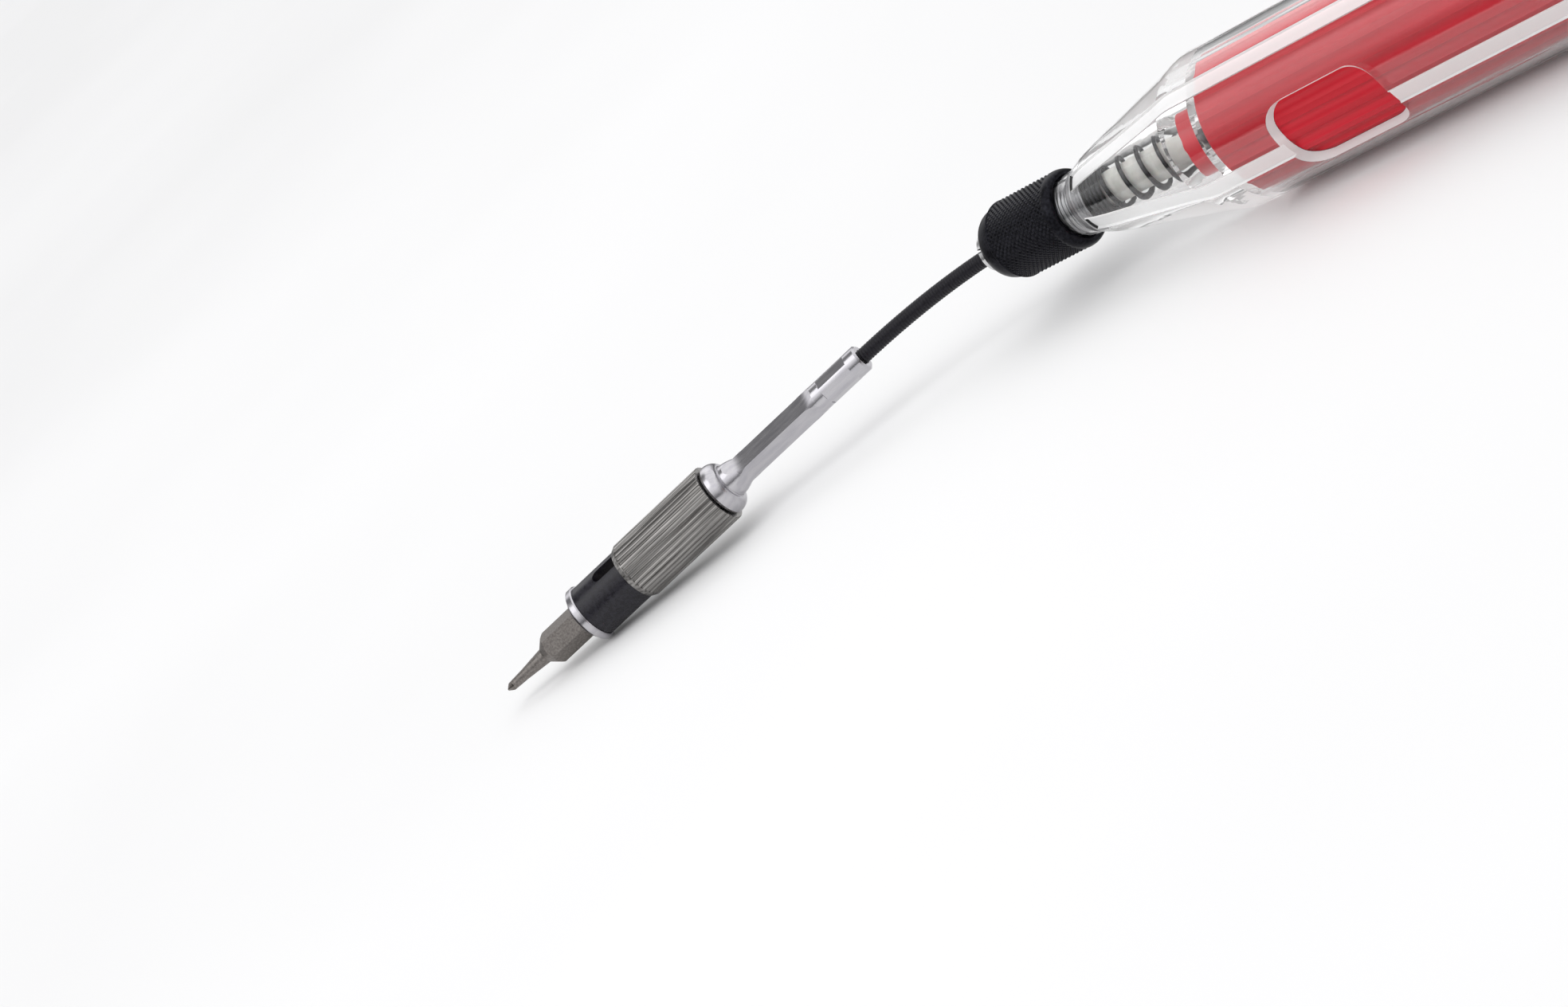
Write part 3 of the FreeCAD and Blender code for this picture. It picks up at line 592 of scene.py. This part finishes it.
def clear_plastic():
    """Polished clear plastic with faint flow lines along the handle. Lamps reach what is inside it."""
    look = Finish("clear_plastic", HANDLE).set(IOR=1.49, Specular_IOR_Level=0.3)
    lines = look.noise(0.55, (0.06, 1, 1), 2.0)
    milk_and_painted_highlight = frost_and_painted_highlight(look)
    look.colour((0.97, 0.97, 0.965), (1, 1, 1), lines).bump(lines, 0.05 * MM, 0.6)
    rough = look.math("MULTIPLY_ADD", milk_and_painted_highlight, FROST_ROUGHNESS, look.math("MULTIPLY", lines, FLOW_ROUGHNESS))
    look.links.new(rough, look.shader.inputs["Roughness"])
    # Less light passes on the milky places: on the groove floors this is milk, and on the bevels it is a painted
    # white highlight.
    through = look.math("MULTIPLY_ADD", milk_and_painted_highlight, -FROST_AND_HIGHLIGHT_OPACITY, 1.0)
    look.links.new(through, look.shader.inputs["Transmission Weight"])
    clear = look.nodes.new("ShaderNodeBsdfTransparent")
    clear.inputs["Color"].default_value = (0.95, 0.95, 0.95, 1)
    path = look.nodes.new("ShaderNodeLightPath")
    mix = look.nodes.new("ShaderNodeMixShader")
    look.links.new(path.outputs["Is Shadow Ray"], mix.inputs[0])
    look.links.new(look.shader.outputs[0], mix.inputs[1])
    look.links.new(clear.outputs[0], mix.inputs[2])
    look.links.new(mix.outputs[0], look.nodes["Material Output"].inputs["Surface"])
    return look.material


def black_steel():
    """Black oxide on the socket, with a faint grain."""
    look = Finish("black_steel", DRIVE).set(Specular_IOR_Level=0.35)
    grain = look.noise(2.0)
    look.roughness(0.22, 0.34, grain).bump(grain, 0.003 * MM)
    look.colour((0.008, 0.007, 0.011), (0.018, 0.017, 0.024), grain)
    return look.material


MATERIALS = {
    "clear_plastic": clear_plastic(),
    "red_plastic": finish("red_plastic", HANDLE, (0.5, 0.006, 0.018), (0.64, 0.012, 0.03), (0.34, 0.44),
                          stretch=(0.02, 0.8, 0.8), bump=0.01 * MM, Specular_IOR_Level=0.3),
    "black_anodised": metal("black_anodised", HANDLE, (0.008, 0.008, 0.01), (0.022, 0.022, 0.027),
                            (0.3, 0.42), stretch=(2, 2, 2), scale=1.5),
    "cap_anodised": metal("cap_anodised", HANDLE, (0.012, 0.012, 0.014), (0.03, 0.03, 0.034), (0.24, 0.34),
                          stretch=TURNED, bump=0.004 * MM),
    "black_steel": black_steel(),
    "shaft_steel": finish("shaft_steel", DRIVE, (0.005, 0.004, 0.007), (0.012, 0.011, 0.016), (0.36, 0.48),
                          scale=3.0, Specular_IOR_Level=0.25),
    "bright_nickel": metal("bright_nickel", DRIVE, (0.47, 0.46, 0.49), (0.54, 0.53, 0.55), (0.18, 0.25),
                           stretch=(0.3, 2, 2), bump=0.001 * MM),
    "collet_nickel": metal("collet_nickel", HANDLE, (0.55, 0.55, 0.56), (0.68, 0.68, 0.68), (0.14, 0.22),
                           stretch=TURNED, bump=0.002 * MM),
    "satin_nickel": metal("satin_nickel", DRIVE, (0.13, 0.125, 0.12), (0.34, 0.33, 0.32), (0.22, 0.36),
                          stretch=DRAWN, bump=0.004 * MM),
    "tool_steel": metal("tool_steel", DRIVE, (0.17, 0.155, 0.145), (0.27, 0.25, 0.235), (0.38, 0.5),
                        scale=4.0, bump=0.004 * MM),
    "spring_steel": metal("spring_steel", HANDLE, (0.018, 0.018, 0.02), (0.05, 0.05, 0.055), (0.25, 0.36),
                          scale=3.0),
    "bush_steel": metal("bush_steel", HANDLE, (0.2, 0.2, 0.21), (0.36, 0.36, 0.37), (0.25, 0.38),
                        stretch=TURNED, bump=0.003 * MM),
    "magnet": metal("magnet", DRIVE, (0.5, 0.5, 0.52), (0.62, 0.62, 0.64), (0.1, 0.2), scale=2.0),
    "natural_nylon": finish("natural_nylon", HANDLE, (0.5, 0.5, 0.47), (0.6, 0.6, 0.57), (0.4, 0.5),
                            Subsurface_Weight=0.15, Subsurface_Scale=0.001),
    "rubber": finish("rubber", HANDLE, (0.02, 0.02, 0.02), (0.035, 0.035, 0.035), (0.6, 0.75),
                     scale=3.0, bump=0.004 * MM),
}
SPECIAL = {"collet": "collet_nickel", "swivel_cap": "cap_anodised", "rear_plug": "cap_anodised",
           "cap_screw": "collet_nickel"}


def paint(piece, material):
    piece.data.materials.clear()
    piece.data.materials.append(material)


def paint_nodes():
    for entry in frame["record"]["subparts"]:
        node = entry["node"]
        paint(frame["nodes"][node], MATERIALS[SPECIAL.get(node, entry["material_slot"])])


# Floor, light and camera

def add_floor():
    mesh = bpy.data.meshes.new("floor")
    half = FLOOR_HALF
    corners = [(-half, -half, 0), (half, -half, 0), (half, half, 0), (-half, half, 0)]
    mesh.from_pydata(corners, [], [(0, 1, 2, 3)])
    floor = bpy.data.objects.new("floor", mesh)
    bpy.context.scene.collection.objects.link(floor)
    look = Finish("floor")
    look.colour((0.86, 0.86, 0.86), (0.9, 0.9, 0.9), look.noise(0.004))
    look.set(Roughness=0.9, Specular_IOR_Level=0.1)
    paint(floor, look.material)


def add_lamp(name, back, distance, size, power):
    data = bpy.data.lights.new(name, "AREA")
    data.shape = "DISK"
    data.size = size
    data.energy = power
    lamp = bpy.data.objects.new(name, data)
    way = Vector(back).normalized()
    centre = (CAD_BOX[0] + CAD_BOX[1]) / 2
    lamp.location = centre + way * distance
    lamp.rotation_mode = "QUATERNION"
    lamp.rotation_quaternion = (-way).to_track_quat("-Z", "Y")
    bpy.context.scene.collection.objects.link(lamp)


def add_sky():
    """Soft light from above, darker towards the floor and in the flag."""
    world = bpy.data.worlds.new("studio")
    world.use_nodes = True
    nodes, links = world.node_tree.nodes, world.node_tree.links
    way = nodes.new("ShaderNodeTexCoord").outputs["Generated"]
    split = nodes.new("ShaderNodeSeparateXYZ")
    links.new(way, split.inputs[0])
    ramp = nodes.new("ShaderNodeValToRGB")
    ramp.color_ramp.elements.new(SKY[-1][0])
    for element, (place, tone) in zip(ramp.color_ramp.elements, SKY):
        element.position = place
        element.color = (tone, tone, tone * SKY_BLUE, 1)
    links.new(split.outputs["Z"], ramp.inputs[0])
    toward = nodes.new("ShaderNodeVectorMath")
    toward.operation = "DOT_PRODUCT"
    toward.inputs[1].default_value = Vector(FLAG_WAY).normalized()
    links.new(way, toward.inputs[0])
    flag = nodes.new("ShaderNodeMapRange")
    flag.inputs["From Min"].default_value = math.cos(FLAG_EDGE_HALF)
    flag.inputs["From Max"].default_value = math.cos(FLAG_DARK_HALF)
    flag.inputs["To Min"].default_value = 1.0
    flag.inputs["To Max"].default_value = FLAG_TONE
    links.new(toward.outputs["Value"], flag.inputs["Value"])
    dimmed = nodes.new("ShaderNodeVectorMath")
    dimmed.operation = "SCALE"
    links.new(ramp.outputs[0], dimmed.inputs[0])
    links.new(flag.outputs[0], dimmed.inputs["Scale"])
    links.new(dimmed.outputs[0], nodes["Background"].inputs["Color"])
    nodes["Background"].inputs["Strength"].default_value = SKY_STRENGTH
    bpy.context.scene.world = world
    bpy.context.scene.view_settings.view_transform = "Standard"


def add_camera():
    data = bpy.data.cameras.new("camera")
    data.lens = LENS
    data.clip_start = NEAR_CLIP
    camera = bpy.data.objects.new("camera", data)
    azimuth, elevation, roll = (math.radians(a) for a in (AZIMUTH, ELEVATION, ROLL))
    back = Vector((math.sin(azimuth) * math.cos(elevation), -math.cos(azimuth) * math.cos(elevation),
                   math.sin(elevation)))
    level = Vector((0, 0, 1)).cross(back).normalized()
    upright = back.cross(level)
    up = upright * math.cos(roll) - level * math.sin(roll)
    right = up.cross(back)
    turn = Matrix((right, up, back)).transposed()
    camera.matrix_world = Matrix.Translation(MOUTH + Vector(AIM_FROM_MOUTH) + back * DISTANCE) @ turn.to_4x4()
    bpy.context.scene.collection.objects.link(camera)
    bpy.context.scene.camera = camera


paint_nodes()
paint(make_nut(), MATERIALS["black_anodised"])
coils, cores = make_shaft()
for coil in coils:
    paint(coil, MATERIALS["shaft_steel"])
for core in cores:
    paint(core, MATERIALS["spring_steel"])
paint(make_nose_spring(), MATERIALS["spring_steel"])
paint(make_sleeve_spring(), MATERIALS["spring_steel"])
paint(make_bush(), MATERIALS["bush_steel"])
add_floor()
for lamp in LAMPS:
    add_lamp(*lamp)
add_sky()
add_camera()
